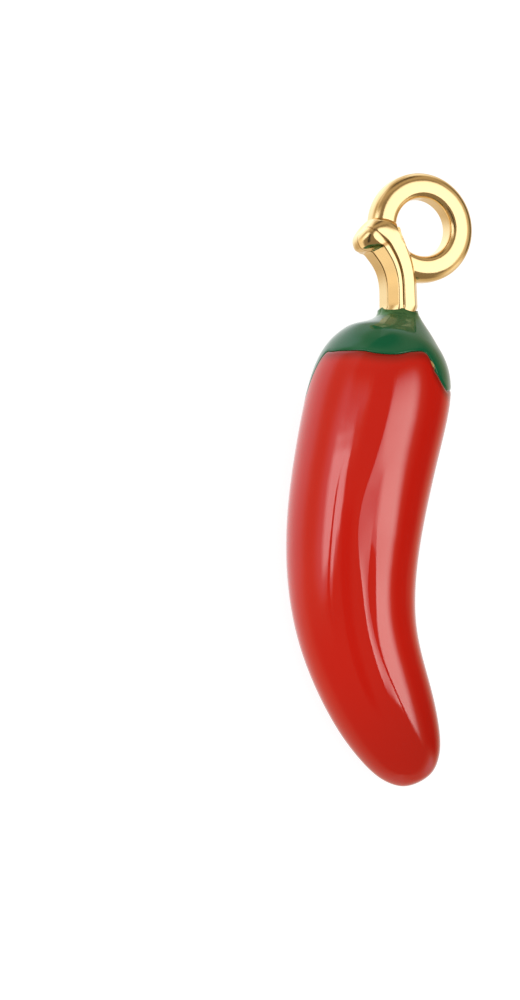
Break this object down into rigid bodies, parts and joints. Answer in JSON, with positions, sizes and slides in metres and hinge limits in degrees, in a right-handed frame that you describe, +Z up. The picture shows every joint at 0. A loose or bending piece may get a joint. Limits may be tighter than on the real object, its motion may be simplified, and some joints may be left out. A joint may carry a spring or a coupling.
{
  "type": "pepper charm",
  "caption": "Small enamelled metal charm shaped as a curved chili pepper, with a lobed green crown and a bent fluted stalk that carries a round hanging loop.",
  "frame": {"origin": "middle of the charm's footprint box on the table it lies on, at the height of the table", "axes": "+Y along the charm from the pepper's tip to the loop, +Z up from the table through the charm's thickness, +X to the side the loop is set towards"},
  "size_m": [0.0068, 0.0212, 0.0048],
  "materials": {
    "gold_plate": "polished gold plating over brass",
    "red_enamel": "thick glossy soft enamel",
    "green_enamel": "thick glossy soft enamel, thinner and see-through at the collar"
  },
  "bodies": {
    "root": {"casting": "gold_plate", "red_enamel": "red_enamel", "green_enamel": "green_enamel"}
  },
  "joints": []
}
